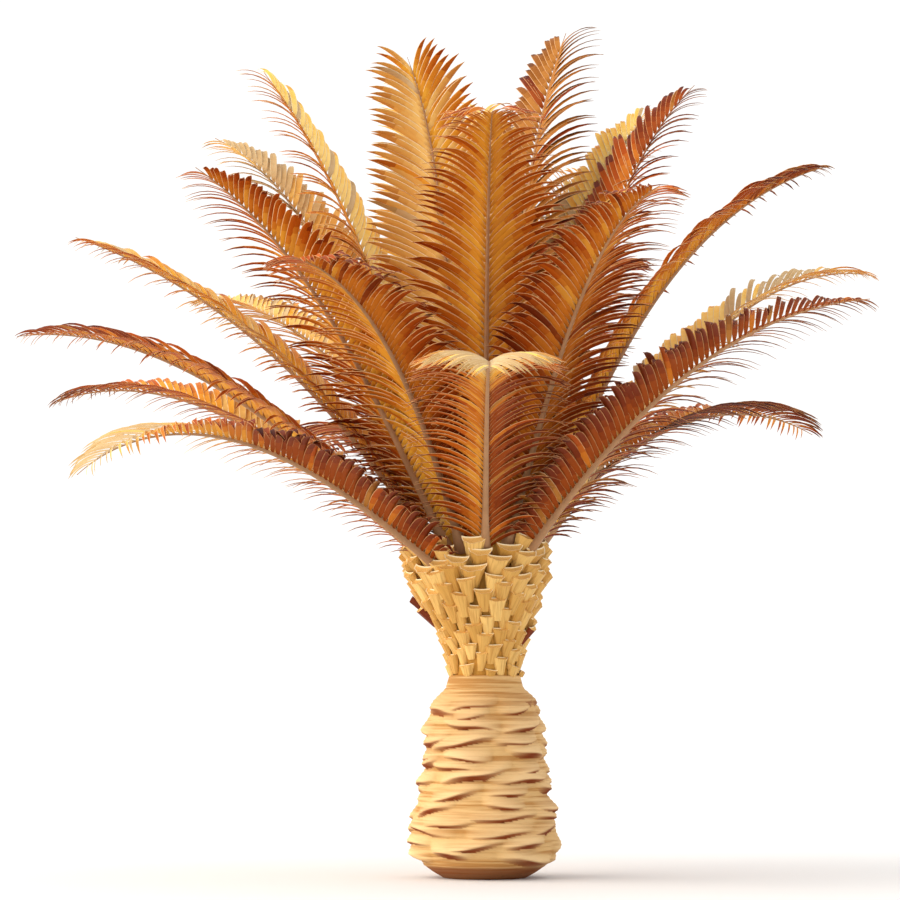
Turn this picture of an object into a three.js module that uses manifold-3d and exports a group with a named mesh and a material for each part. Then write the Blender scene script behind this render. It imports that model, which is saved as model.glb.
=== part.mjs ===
// A young Canary Island date palm: a bulbous trunk, a collar of pruned leaf bases above it, a domed heart,
// and a crown of feather fronds that stand up in the middle and arch out and down round the outside.
// Millimetres, +Z up. The origin is the middle of the flat cut under the trunk, at ground level.
// Azimuths are in degrees, seen from above, from +X towards +Y; -Y is the front.

import * as THREE from "three";
import { mergeVertices } from "three/addons/utils/BufferGeometryUtils.js";
import Module from "manifold-3d";

// ---------------------------------------------------------------- driving dimensions

const GAP = 0.3; // clearance between pieces that lie face to face

const TRUNK_TOP = 1600; // height of the neck, where the pruned leaf bases begin
const COLLAR_TOP = 2550; // height of the collar's upper rim
const HEART_BASE = COLLAR_TOP + GAP;
const COLLAR_RADIUS = 430; // of the collar's core near its rim
const HEART_RADIUS = 425; // of the dome that carries the fronds
const HEART_HEIGHT = 320;

const FROND_REACH = 500; // from the rib to the leaflet tips, at the frond's widest
const STALK_HALF_WIDTH = 60; // of the rib where it leaves the crown
const STALK_DEPTH = 62;
const RIB_TIP_DEPTH = 7;
const RIB_TAPER = 0.7; // under 1 thins the rib more near its foot
const BLADE_CREST = 7; // how far the blade's upper side stands above its own middle line
const TIP_HALF_WIDTH = 14;
const SEAT_DEPTH = 45; // how far a frond's foot is run into the heart before the heart is cut from it

const GOLDEN_ANGLE = 137.508;

// Each frond's own stance: the way it points, how steeply it leaves the crown, how far it bends down by its
// tip, how late it does that (1 is an even arc, 3 is straight and then nods), and its length along the rib.
// A frond that arches over a wide gap is two pieces, which meet at `split`, as a share of its length.
const OUTER_FRONDS = [
  { azimuth: 222, rise: 31, droop: 73, bend: 2.3, length: 3950, split: 0.6 },
  { azimuth: 197, rise: 41, droop: 53, bend: 2.6, length: 3960, split: 0.6 },
  { azimuth: 157, rise: 38, droop: 61, bend: 2.6, length: 4050, split: 0.6 },
  { azimuth: 112, rise: 36, droop: 60, bend: 2.2, length: 3950, split: 0.6 },
  { azimuth: 80, rise: 42, droop: 62, bend: 2.0, length: 3950, split: 0.55 },
  { azimuth: 43, rise: 44, droop: 65, bend: 1.5, length: 4030, split: 0.5 },
  { azimuth: 17, rise: 52, droop: 67, bend: 3.4, length: 4050, split: 0.7 },
  { azimuth: 318, rise: 46, droop: 49, bend: 1.7, length: 3980, split: 0.5 },
  { azimuth: 270, rise: 48, droop: 67, bend: 1.3, length: 3990, split: 0.5 },
];
const MIDDLE_FRONDS = [
  { azimuth: 243, rise: 57, droop: 70, bend: 1.8, length: 3900, split: 0.5 },
  { azimuth: 223, rise: 57, droop: 36, bend: 2.5, length: 3900, split: 0 },
  { azimuth: 177, rise: 57, droop: 39, bend: 1.4, length: 3990, split: 0 },
  { azimuth: 157, rise: 68, droop: 44, bend: 3.4, length: 4100, split: 0 },
  { azimuth: 134, rise: 58, droop: 52, bend: 1.4, length: 4020, split: 0.5 },
  { azimuth: 104, rise: 58, droop: 50, bend: 2.0, length: 3950, split: 0.55 },
  { azimuth: 66, rise: 59, droop: 48, bend: 2.2, length: 3950, split: 0.6 },
  { azimuth: 28, rise: 78, droop: 29, bend: 2.6, length: 3860, split: 0 },
  { azimuth: 10, rise: 75, droop: 33, bend: 3.9, length: 4030, split: 0 },
  { azimuth: 359, rise: 66, droop: 55, bend: 2.6, length: 4050, split: 0.65 },
  { azimuth: 296, rise: 59, droop: 70, bend: 3.0, length: 4010, split: 0.65 },
];
const INNER_FRONDS = [
  { azimuth: 173, rise: 76, droop: 23, bend: 1.9, length: 4120, split: 0 },
  { azimuth: 208, rise: 86, droop: 12, bend: 2.0, length: 3900, split: 0 },
  { azimuth: 271, rise: 80, droop: 76, bend: 2.3, length: 3970, split: 0.6 },
  { azimuth: 52, rise: 85, droop: 26, bend: 2.4, length: 4280, split: 0 },
  { azimuth: 67, rise: 74, droop: 40, bend: 2.3, length: 3960, split: 0 },
  { azimuth: 90, rise: 83, droop: 38, bend: 2.6, length: 3900, split: 0 },
  { azimuth: 119, rise: 80, droop: 8, bend: 2.6, length: 4170, split: 0 },
];
const FRONDS = [
  ...OUTER_FRONDS.map((frond, n) => ({ ...frond, name: `outer_frond_${n + 1}` })),
  ...MIDDLE_FRONDS.map((frond, n) => ({ ...frond, name: `middle_frond_${n + 1}` })),
  ...INNER_FRONDS.map((frond, n) => ({ ...frond, name: `inner_frond_${n + 1}` })),
];

// ---------------------------------------------------------------- materials

const bark = new THREE.MeshStandardMaterial({ color: 0xe0b36a, roughness: 0.9, metalness: 0 });
const leafBase = new THREE.MeshStandardMaterial({ color: 0xd9a441, roughness: 0.8, metalness: 0 });
const leaflets = new THREE.MeshStandardMaterial({ color: 0xb8661a, roughness: 0.6, metalness: 0 });

// ---------------------------------------------------------------- small tools

const rad = THREE.MathUtils.degToRad;
const smooth = THREE.MathUtils.smoothstep;
const turned = (azimuth) => new THREE.Vector3(Math.cos(rad(azimuth)), Math.sin(rad(azimuth)), 0);
const UP = new THREE.Vector3(0, 0, 1);

// A sum of scaled vectors: mix(a, 2, b, 3) is 2a + 3b.
function mix(...terms) {
  const sum = new THREE.Vector3();
  for (let i = 0; i < terms.length; i += 2) sum.addScaledVector(terms[i], terms[i + 1]);
  return sum;
}

// A closed body through a stack of rings of equal count, with the triangles of its end caps given by index.
function loft(rings, cap) {
  const count = rings[0].length;
  const index = [];
  for (let k = 0; k + 1 < rings.length; k++)
    for (let i = 0; i < count; i++) {
      const [a, b] = [k * count + i, k * count + ((i + 1) % count)];
      index.push(a, b, b + count, a, b + count, a + count);
    }
  const last = (rings.length - 1) * count;
  for (const [a, b, c] of cap) index.push(a, c, b, last + a, last + b, last + c);
  return new THREE.BufferGeometry().setFromPoints(rings.flat()).setIndex(index);
}

const fanCap = (count) => Array.from({ length: count - 2 }, (_, i) => [0, i + 1, i + 2]);

const wasm = await Module();
wasm.setup();

function solidOf(geometry) {
  const bare = geometry.clone();
  bare.deleteAttribute("normal");
  bare.deleteAttribute("uv");
  const merged = mergeVertices(bare, 1e-3);
  const vertProperties = new Float32Array(merged.attributes.position.array);
  const triVerts = new Uint32Array(merged.index.array);
  return new wasm.Manifold(new wasm.Mesh({ numProp: 3, vertProperties, triVerts }));
}

function geometryOf(solid) {
  const mesh = solid.getMesh();
  const position = new THREE.BufferAttribute(new Float32Array(mesh.vertProperties), 3);
  const index = new THREE.BufferAttribute(new Uint32Array(mesh.triVerts), 1);
  return new THREE.BufferGeometry().setAttribute("position", position).setIndex(index);
}

const largestPiece = (solid) => solid.decompose().sort((a, b) => b.volume() - a.volume())[0];

// ---------------------------------------------------------------- trunk

// The trunk's half-width from the flat cut at the ground, over the swollen foot, up to the neck.
const TRUNK_PROFILE = [
  [0, 300], [70, 430], [180, 545], [380, 600], [620, 572], [900, 518],
  [1100, 468], [1270, 462], [1400, 405], [1500, 345], [TRUNK_TOP, 290],
];
const TRUNK_SIDES = 30;
const FOLD_SPACING = 125; // height between one fold of old leaf scars and the next
const FOLD_RELIEF = 26;
const [FOLDS_FROM, FOLDS_TO] = [200, 1380]; // heights between which the folds have their full relief

// How far the bark stands out: slanting folds that run part of the way round and die out.
function foldRelief(azimuth, z) {
  const around = rad(azimuth);
  const slant = 1.2 * Math.sin(2 * around + z / 310) + 0.8 * Math.sin(5 * around - z / 170);
  const wave = Math.sin((2 * Math.PI * z) / FOLD_SPACING + slant);
  const strength = 0.6 + 0.4 * Math.sin(3 * around + z / 90);
  const fadeIn = smooth(z, 0, FOLDS_FROM);
  const fadeOut = 1 - smooth(z, FOLDS_TO, TRUNK_TOP);
  return FOLD_RELIEF * wave * strength * fadeIn * fadeOut;
}

function halfWidth(profile, z) {
  const k = Math.max(1, profile.findIndex(([height]) => height >= z));
  const [[z0, r0], [z1, r1]] = [profile[k - 1], profile[k]];
  return r0 + ((r1 - r0) * (z - z0)) / (z1 - z0);
}

function trunk() {
  const heights = [0, 70, 130];
  for (let z = 190; z < TRUNK_TOP - FOLD_SPACING / 4; z += FOLD_SPACING / 2) heights.push(z);
  heights.push(TRUNK_TOP);
  const rings = heights.map((z) =>
    Array.from({ length: TRUNK_SIDES }, (_, i) => {
      const azimuth = (360 * i) / TRUNK_SIDES;
      const radius = halfWidth(TRUNK_PROFILE, z) + foldRelief(azimuth, z);
      return mix(turned(azimuth), radius, UP, z);
    }),
  );
  return loft(rings, fanCap(TRUNK_SIDES));
}

// ---------------------------------------------------------------- collar's core and heart

// The collar's core, inside the stubs.
const COLLAR_PROFILE = [
  [TRUNK_TOP + GAP, 272], [1800, 292], [1960, 330], [2140, 388], [2320, COLLAR_RADIUS],
  [COLLAR_TOP, COLLAR_RADIUS],
];

function collarCore(growth) {
  const profile = COLLAR_PROFILE.map(([z, r]) => new THREE.Vector2(r + growth, z));
  profile.unshift(new THREE.Vector2(0, TRUNK_TOP + GAP));
  profile.push(new THREE.Vector2(0, COLLAR_TOP));
  return solidOf(new THREE.LatheGeometry(profile, 24).rotateX(Math.PI / 2));
}


// The domed heart: a quarter of an ellipse on a short straight foot, turned round the axis.
function heart(growth) {
  const profile = [new THREE.Vector2(0, HEART_BASE - growth)];
  profile.push(new THREE.Vector2(HEART_RADIUS + growth, HEART_BASE - growth));
  for (let i = 0; i < 8; i++) {
    const at = rad((90 * i) / 8);
    const radius = (HEART_RADIUS + growth) * Math.cos(at);
    profile.push(new THREE.Vector2(radius, HEART_BASE + (HEART_HEIGHT + growth) * Math.sin(at)));
  }
  profile.push(new THREE.Vector2(0, HEART_BASE + HEART_HEIGHT + growth));
  return new THREE.LatheGeometry(profile, 24).rotateX(Math.PI / 2);
}

// ---------------------------------------------------------------- fronds

// Where a frond leaves the crown: the steep ones high on the heart's dome, the low ones on the collar's side.
const RIM_RISE = 47; // the rise of a frond that sits just on the rim
const SIDE_STEP = 8.8; // how far down the collar's side the foot moves for each degree below that
const DOME_STEP = 1.1; // degrees up the dome for each degree above it,
const DOME_STEP_GROWTH = 0.012; // and growing
function frondFoot({ azimuth, rise }) {
  const over = rise - RIM_RISE;
  if (over < 0) return mix(turned(azimuth), COLLAR_RADIUS, UP, HEART_BASE + SIDE_STEP * over);
  const seat = rad(DOME_STEP * over + DOME_STEP_GROWTH * over ** 2);
  return mix(turned(azimuth), HEART_RADIUS * Math.cos(seat), UP, HEART_BASE + HEART_HEIGHT * Math.sin(seat));
}

const RIB_STEPS = 60;

// The rib's line: points and headings, bending down more and more towards the tip.
function ribLine(frond) {
  const out = turned(frond.azimuth);
  const heading = (t) => rad(frond.rise - frond.droop * Math.max(t, 0) ** frond.bend);
  const start = mix(out, Math.cos(heading(0)), UP, Math.sin(heading(0)));
  const line = [mix(frondFoot(frond), 1, start, -SEAT_DEPTH)];
  const step = (frond.length + SEAT_DEPTH) / RIB_STEPS;
  for (let i = 0; i < RIB_STEPS; i++) {
    const angle = heading((i + 0.5) / RIB_STEPS);
    line.push(mix(line[i], 1, out, step * Math.cos(angle), UP, step * Math.sin(angle)));
  }
  return { line, heading };
}

// The frame of a cross-section at share t of the length: along the rib, sideways and up from its upper face.
function section(frond, t) {
  const { line, heading } = frond.rib;
  const place = t * RIB_STEPS;
  const k = Math.min(Math.floor(place), RIB_STEPS - 1);
  const point = line[k].clone().lerp(line[k + 1], place - k);
  const out = turned(frond.azimuth);
  const side = turned(frond.azimuth + 90);
  const above = mix(out, -Math.sin(heading(t)), UP, Math.cos(heading(t)));
  return { point, side, above, level: Math.cos(heading(t)) };
}

// The blade's outline: its half-width along the rib, from the stalk over the widest leaflets to the tip.
const WIDEST_SHIFT = 0.75; // under 1 moves the widest place towards the foot
const FULLNESS = 0.8; // under 1 makes the outline fuller than a sine arch
const outline = (t) => Math.max(0, Math.sin(Math.PI * t ** WIDEST_SHIFT)) ** FULLNESS;
const STATIONS = [0, 0.03, 0.08, 0.15, 0.24, 0.34, 0.44, 0.54, 0.64, 0.74, 0.83, 0.9, 0.96, 1];
function openReach(t) {
  if (t === 0) return STALK_HALF_WIDTH;
  return Math.max(TIP_HALF_WIDTH, FROND_REACH * outline(t));
}

const WING_RISE = [34, 22]; // degrees above the rib's own plane, at the foot and at the tip
const WING_SAG = 0.12; // how far the leaflet tips hang, as a share of their reach

// The cross-section: a thin chevron, of the left tip, the rib's top, the right tip and the keel.
function bladeRing(frond, t, [left, right], margin) {
  const { point, side, above, level } = section(frond, t);
  const depth = THREE.MathUtils.lerp(STALK_DEPTH, RIB_TIP_DEPTH, t ** RIB_TAPER) + margin;
  const rise = rad(THREE.MathUtils.lerp(...WING_RISE, t));
  const wing = (sign, reach) => {
    const full = reach + margin;
    const spread = smooth(reach, STALK_HALF_WIDTH, 3 * STALK_HALF_WIDTH); // a bare stalk has no raised wings
    const lift = Math.sin(rise) * full * spread;
    const sag = WING_SAG * full * spread * level;
    return mix(point, 1, side, sign * full * Math.cos(rise * spread), above, lift, UP, -sag);
  };
  const top = mix(point, 1, above, BLADE_CREST + margin);
  const keel = mix(point, 1, above, -depth);
  return [wing(1, left), top, wing(-1, right), keel];
}
const BLADE_CAP = [[0, 1, 3], [1, 2, 3]];
const CLOSEST_STATIONS = 0.02; // no cross-section lies nearer than this to a blade's end

function blade(frond, from, to, margin = 0) {
  const inside = STATIONS.filter((t) => t > from + CLOSEST_STATIONS && t < to - CLOSEST_STATIONS);
  const rings = [from, ...inside, to].map((t) => bladeRing(frond, t, reachAt(frond, t), margin));
  return solidOf(loft(rings, BLADE_CAP));
}

// The half-widths to the left and right at t, between the stations where they are set.
function reachAt(frond, t) {
  const k = Math.max(1, STATIONS.findIndex((station) => station >= t));
  const share = (t - STATIONS[k - 1]) / (STATIONS[k] - STATIONS[k - 1]);
  return [0, 1].map((s) => THREE.MathUtils.lerp(frond.reach[k - 1][s], frond.reach[k][s], share));
}

// Where a point lies on a frond: between which stations, in which wing, and how far from the rib.
function whereOn(frond, point) {
  let best = { away: Infinity };
  for (let i = 0; i <= RIB_STEPS; i++) {
    const away = frond.rib.line[i].distanceTo(point);
    if (away < best.away) best = { away, t: i / RIB_STEPS };
  }
  const { point: centre, side } = section(frond, best.t);
  const lateral = point.clone().sub(centre).dot(side);
  const k = Math.max(1, STATIONS.findIndex((station) => station >= best.t));
  return { ...best, lateral: Math.abs(lateral), wing: lateral > 0 ? 0 : 1, stations: [k - 1, k] };
}

const BLADE_MARGIN = 2; // blades are tested this much fatter than they are made
const NARROWER = 0.93; // of the distance from its rib to where it meets the other blade
const NARROWER_STILL = 0.98; // of its own width, where it is inside that already
const MOST_ROUNDS = 80;

// Where two blades would pass through each other, the wing that reaches further from its own rib is narrowed.
function clearEachOther(fronds) {
  const grown = new Map(fronds.map((frond) => [frond, blade(frond, 0, 1, BLADE_MARGIN)]));
  for (let round = 0; round < MOST_ROUNDS; round++) {
    const narrowed = new Set();
    fronds.forEach((a, i) =>
      fronds.slice(i + 1).forEach((b) => {
        const common = grown.get(a).intersect(grown.get(b));
        if (common.isEmpty()) return;
        const { vertProperties } = common.getMesh();
        for (let v = 0; v < vertProperties.length; v += 3) {
          const point = new THREE.Vector3(...vertProperties.subarray(v, v + 3));
          const [onA, onB] = [whereOn(a, point), whereOn(b, point)];
          const [loser, at] = onA.lateral > onB.lateral ? [a, onA] : [b, onB];
          for (const k of at.stations) {
            const limit = Math.max(TIP_HALF_WIDTH, NARROWER * at.lateral);
            if (limit < loser.reach[k][at.wing]) loser.reach[k][at.wing] = limit;
            else loser.reach[k][at.wing] = Math.max(TIP_HALF_WIDTH, loser.reach[k][at.wing] * NARROWER_STILL);
          }
          narrowed.add(loser);
        }
      }),
    );
    if (!narrowed.size) return;
    for (const frond of narrowed) grown.set(frond, blade(frond, 0, 1, BLADE_MARGIN));
  }
  throw new Error("two fronds' ribs cross");
}

for (const frond of FRONDS) {
  frond.rib = ribLine(frond);
  frond.reach = STATIONS.map((t) => [openReach(t), openReach(t)]);
}
clearEachOther(FRONDS);

const seatCutter = solidOf(heart(GAP)).add(collarCore(GAP));

// A frond as its pieces, each with its foot cut to the heart or butted to the piece below it.
function frondPieces(frond) {
  const seated = (end) => largestPiece(blade(frond, 0, end).subtract(seatCutter));
  if (!frond.split) return [{ name: frond.name, solid: seated(1) }];
  const joint = frond.split + GAP / frond.length;
  return [
    { name: `${frond.name}_foot`, solid: seated(frond.split) },
    { name: `${frond.name}_tip`, solid: blade(frond, joint, 1) },
  ];
}

// ---------------------------------------------------------------- collar of pruned leaf bases

const STUB_COUNT = 96;
const STUB_CROWDING = 0.86; // under 1, the lower and smaller stubs stand closer together
const STUB_ROOT_HEIGHT = [TRUNK_TOP + 5, COLLAR_TOP - 175]; // of the lowest and the highest stub
const STUB_ROOT_DEPTH = 22; // how far the stub's root lies inside the core
const STUB_ROOT_SCALE = 0.54; // of the root against the cut face
const STUB_WIDTH = [80, 185]; // of the cut face, at the neck and at the rim
const STUB_LENGTH = [110, 205];
const STUB_LEAN = [14, 36]; // of the stub out from upright, in degrees
// The cut face's corners, as shares of its width: across, and out towards the stub's back.
const STUB_SECTION = [[-0.5, -0.18], [-0.36, 0.18], [0, 0.34], [0.36, 0.18], [0.5, -0.18]];
const HEART_CLEARANCE = 6; // between the stubs and the heart

// One leaf base, sawn off square: narrow at its root in the core, with a round back and a crescent cut face.
function stub(n) {
  const climb = ((n + 0.5) / STUB_COUNT) ** STUB_CROWDING;
  const grown = ([least, most]) => THREE.MathUtils.lerp(least, most, climb);
  const height = grown(STUB_ROOT_HEIGHT);
  const [width, length, lean] = [grown(STUB_WIDTH), grown(STUB_LENGTH), rad(grown(STUB_LEAN))];
  const azimuth = n * GOLDEN_ANGLE;
  const [out, side] = [turned(azimuth), turned(azimuth + 90)];
  const axis = mix(out, Math.sin(lean), UP, Math.cos(lean));
  const back = mix(out, Math.cos(lean), UP, -Math.sin(lean));
  const root = mix(out, halfWidth(COLLAR_PROFILE, height) - STUB_ROOT_DEPTH, UP, height);
  const ring = (along, scale) =>
    STUB_SECTION.map(([x, y]) => mix(root, 1, axis, along, side, x * width * scale, back, y * width * scale));
  return loft([ring(0, STUB_ROOT_SCALE), ring(length, 1)], fanCap(STUB_SECTION.length));
}

// Where a living frond stands, there is no pruned stub.
function collar(frondSolids) {
  const room = frondSolids.map((piece) => piece.solid);
  const heartRoom = solidOf(heart(HEART_CLEARANCE));
  let body = collarCore(0);
  for (let n = 0; n < STUB_COUNT; n++) {
    const one = solidOf(stub(n));
    const blocked = room.some((solid) => !solid.intersect(one).isEmpty());
    if (!blocked) body = body.add(one.subtract(heartRoom));
  }
  return largestPiece(body);
}

// ---------------------------------------------------------------- the palm

const palm = new THREE.Group();
function place(name, geometry, material) {
  const mesh = new THREE.Mesh(geometry, material);
  mesh.name = name;
  palm.add(mesh);
}

const pieces = FRONDS.flatMap(frondPieces);
place("trunk", trunk(), bark);
place("leaf_base_collar", geometryOf(collar(pieces)), leafBase);
place("crown_heart", heart(0), leafBase);
for (const piece of pieces) place(piece.name, geometryOf(piece.solid), leaflets);

export default palm;
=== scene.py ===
# %% [markdown]
# # A young Canary Island date palm
#
# The palm has a bulbous trunk of old, slumped bark, a flaring collar of sawn-off leaf bases, a fibrous
# heart, and twenty-seven feather fronds. The CAD model gives the trunk, the collar, the heart and a plain
# thin blade for each frond. This script puts the real surface in the place of each, in the same frame and
# in metres.

# %% Load the frame
import math
import random

import bpy
import numpy as np
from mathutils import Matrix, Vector


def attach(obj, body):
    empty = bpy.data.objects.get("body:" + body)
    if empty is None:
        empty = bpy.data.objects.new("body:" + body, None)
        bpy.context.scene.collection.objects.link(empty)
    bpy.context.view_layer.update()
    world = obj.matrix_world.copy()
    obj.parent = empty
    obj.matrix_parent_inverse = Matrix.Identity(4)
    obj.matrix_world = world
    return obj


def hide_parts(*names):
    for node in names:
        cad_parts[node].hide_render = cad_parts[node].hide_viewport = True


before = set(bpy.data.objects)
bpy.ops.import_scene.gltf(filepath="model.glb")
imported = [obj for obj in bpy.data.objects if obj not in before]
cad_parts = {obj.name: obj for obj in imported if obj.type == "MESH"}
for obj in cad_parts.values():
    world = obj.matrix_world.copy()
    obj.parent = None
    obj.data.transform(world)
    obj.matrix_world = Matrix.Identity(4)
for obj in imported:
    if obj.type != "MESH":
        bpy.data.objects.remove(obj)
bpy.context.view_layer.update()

# %% [markdown]
# ## The camera, the floor and the light
#
# The palm is seen level, from far away, so the lens is long. The stage is a white floor under a white
# sky. One broad, soft lamp stands on the left, so that the bark and the leaf bases are bright on that
# side and turn slowly darker to the right, and the sky fills the shade.

# %% Camera
VIEW_MIDDLE = -0.276  # the view's middle is a little left of the trunk, as the crown's is
CAMERA_AT = Vector((VIEW_MIDDLE, -28.0, 1.5))
LOOKS_AT = Vector((VIEW_MIDDLE, 0, 3.4))
SENSOR = 36  # millimetres across, as on a full-frame camera
FOCAL_LENGTH = 140.3
FARTHEST_SEEN = 200


def deselect():
    """An operator acts on all that is selected, so everything is let go first."""
    if bpy.context.object and bpy.context.object.mode != "OBJECT":
        bpy.ops.object.mode_set(mode="OBJECT")
    bpy.ops.object.select_all(action="DESELECT")


deselect()
bpy.ops.object.camera_add(location=CAMERA_AT)
camera = bpy.context.object
camera.name = "camera"
camera.rotation_euler = (LOOKS_AT - CAMERA_AT).to_track_quat("-Z", "Y").to_euler()
camera.data.sensor_width = SENSOR
camera.data.lens = FOCAL_LENGTH
camera.data.clip_end = FARTHEST_SEEN
bpy.context.scene.camera = camera
print("camera", round((LOOKS_AT - CAMERA_AT).length, 1), "m from the palm")

# %% Nodes and colours, for every material below
# What the sockets of a Mix node are numbered: its share, its two colours, and the mixed colour.
SHARE, ONE, OTHER, MIXED = 0, 6, 7, 2


def linear(code):
    """An sRGB hex code such as "C07018", as the linear colour that shaders take."""
    values = [int(code[i:i + 2], 16) / 255 for i in (0, 2, 4)]
    return [v / 12.92 if v <= 0.04045 else ((v + 0.055) / 1.055) ** 2.4 for v in values] + [1]


def add_node(tree, kind, inputs=None, **settings):
    """Adds a node. Its inputs are numbers, colours, or the output sockets of other nodes."""
    node = tree.nodes.new(kind)
    for name, value in settings.items():
        setattr(node, name, value)
    for socket, value in (inputs or {}).items():
        if isinstance(value, bpy.types.NodeSocket):
            tree.links.new(value, node.inputs[socket])
        else:
            node.inputs[socket].default_value = value
    return node


def new_material(name):
    """An empty material, and its node tree."""
    material = bpy.data.materials.new(name)
    material.use_nodes = True
    material.node_tree.nodes.clear()
    return material, material.node_tree


DRY_SHINE = 0.2  # dry bark, fibre and stalk shine less than most things do


def finish_material(tree, colour, roughness, normal=None, shine=DRY_SHINE):
    """The shader and the output. The colour and the normal may come from another node."""
    inputs = {"Base Color": colour, "Roughness": roughness, "IOR": 1.5, "Specular IOR Level": shine}
    if normal:
        inputs["Normal"] = normal
    shader = add_node(tree, "ShaderNodeBsdfPrincipled", inputs)
    add_node(tree, "ShaderNodeOutputMaterial", {"Surface": shader.outputs[0]})


# %% Floor, sky and lamp
FLOOR_SIDE = 400
FLOOR_DROP = 0.001  # keeps the floor clear of the trunk's flat end
LAMP_FROM = Vector((-0.96, -0.20, 0.45))
LAMP_DISTANCE = 20
LAMP_POWER = 3.6
LAMP_SOFTNESS = 75  # degrees across
SKY_POWER = 1.08

floor_paint, tree = new_material("matt white studio floor")
finish_material(tree, linear("E4E4E4"), 0.9)
deselect()
bpy.ops.mesh.primitive_plane_add(size=FLOOR_SIDE, location=(0, 0, -FLOOR_DROP))
floor = bpy.context.object
floor.name = "studio_floor"
floor.data.materials.append(floor_paint)

bpy.ops.object.light_add(type="SUN", location=LAMP_FROM * LAMP_DISTANCE)
lamp = bpy.context.object
lamp.name = "soft_lamp"
lamp.rotation_euler = LAMP_FROM.to_track_quat("Z", "Y").to_euler()
lamp.data.energy = LAMP_POWER
lamp.data.angle = math.radians(LAMP_SOFTNESS)
lamp.data.color = linear("FFF6E8")[:3]

sky = bpy.data.worlds.new("white sky")
sky.use_nodes = True
sky.node_tree.nodes.clear()
light = add_node(sky.node_tree, "ShaderNodeBackground", {"Color": linear("FFFFFF"), "Strength": SKY_POWER})
add_node(sky.node_tree, "ShaderNodeOutputWorld", {"Surface": light.outputs[0]})
bpy.context.scene.world = sky
bpy.context.scene.view_settings.view_transform = "Standard"
print("floor", FLOOR_SIDE, "m across, lamp", LAMP_POWER, "and sky", SKY_POWER)

# %% [markdown]
# ## Helpers for shaping
#
# Every piece starts as a primitive that is cut into rings or strips in edit mode. Its points then go
# where a rule says, so these helpers read and write all the points of a mesh at once.

# %% Mesh helpers
MM = 0.001
SAME_PLACE = 1e-4  # points that differ by less than this are on the same ring


def points_of(piece):
    """All the points of a mesh, as an array of rows of x, y, z."""
    flat = np.empty(len(piece.data.vertices) * 3)
    piece.data.vertices.foreach_get("co", flat)
    return flat.reshape(-1, 3)


def move_points(piece, points):
    """Puts every point of a mesh in its new place."""
    piece.data.vertices.foreach_set("co", np.ascontiguousarray(points).ravel())
    piece.data.update()


def cut_along(piece, axis, cuts):
    """Cuts every edge that runs along an axis, which makes rings across it."""
    deselect()
    piece.select_set(True)
    bpy.context.view_layer.objects.active = piece
    bpy.context.tool_settings.mesh_select_mode = (False, True, False)
    for edge in piece.data.edges:
        ends = [piece.data.vertices[v].co for v in edge.vertices]
        edge.select = abs((ends[1] - ends[0])[axis]) > SAME_PLACE
    bpy.ops.object.mode_set(mode="EDIT")
    bpy.ops.mesh.subdivide(number_cuts=cuts)
    bpy.ops.mesh.select_all(action="DESELECT")
    bpy.ops.object.mode_set(mode="OBJECT")


def smoothstep(x, low=0.0, high=1.0):
    """A gentle step from 0, at or under the low place, to 1, at or over the high one."""
    x = np.clip((x - low) / (high - low), 0, 1)
    return x * x * (3 - 2 * x)


def cylinder(name, sides, height, cuts):
    """An upright cylinder of radius 1 on the ground, with its side cut into rings."""
    deselect()
    bpy.ops.mesh.primitive_cylinder_add(vertices=sides, radius=1, depth=height, location=(0, 0, 0))
    piece = bpy.context.object
    piece.name = name
    bpy.ops.object.mode_set(mode="EDIT")
    bpy.ops.mesh.select_all(action="SELECT")
    bpy.ops.transform.translate(value=(0, 0, height / 2))
    bpy.ops.mesh.select_all(action="DESELECT")
    bpy.ops.object.mode_set(mode="OBJECT")
    for number in cuts:
        cut_along(piece, 2, number)
    return piece


def smooth_by_angle(piece, degrees):
    """Shades a piece smooth, but for the edges that are sharper than an angle."""
    deselect()
    piece.select_set(True)
    bpy.context.view_layer.objects.active = piece
    bpy.ops.object.shade_smooth_by_angle(angle=math.radians(degrees))


def store(piece, name, values):
    """Keeps one number per point on the mesh, for its material to read."""
    piece.data.attributes.new(name, "FLOAT", "POINT").data.foreach_set("value", values)


def settle(piece, slot, *nodes):
    """The piece rides on the palm's one body and stands for CAD nodes; the slot is not used."""
    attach(piece, "root")
    if nodes:
        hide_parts(*nodes)
    print(f"{piece.name}: {len(piece.data.polygons)} faces")


# %% [markdown]
# ## The trunk
#
# The foot of a young palm swells like a bulb. Its bark is what is left of the oldest leaf bases, squeezed
# down by their own weight into long, slanting folds that overlap like slumped cloth, with a lip and a
# hollow below each, and the hollow is painted dark, as shade. Sculpting would do it, or a displacement
# texture, but a texture on a tapering trunk stretches. Here each fold is a rule: where it starts, how far
# round it runs and how it slants. The cylinder's points stand out as far as the proudest fold at that
# place says: a long slope down to the lip, a round lip, and a short underside that goes back in.

# %% The trunk's outline and its folds
# Height above the ground and half-width, in millimetres.
TRUNK_OUTLINE = [
    (0, 328), (40, 400), (100, 490), (200, 550), (290, 572), (400, 568), (500, 548), (660, 500), (850, 470),
    (1120, 450), (1280, 434), (1350, 415), (1400, 395), (1440, 366), (1500, 312), (1600, 281),
]
TRUNK_HEIGHT = 1.6
TRUNK_SIDES, TRUNK_CUTS = 224, (14, 11)  # fifteen bands, and each of them in twelve
UNEVENNESS = 0.006  # of the trunk under its folds
FOLD_ROWS = 13
FOLDS_IN_ROW = 6
FOLD_FROM, FOLD_TO = 0.17, 1.40  # the heights of the lowest and the highest row of folds
FOLD_SHIFT, ROW_SHIFT = 0.25, 0.045  # how far a fold strays from its place, in radians and in metres
FOLD_HALF_SPAN = (0.34, 0.80)  # radians round the trunk
FOLD_SLANT = (-8, 13)  # degrees
LIP_RELIEF = (0.042, 0.090)
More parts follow.
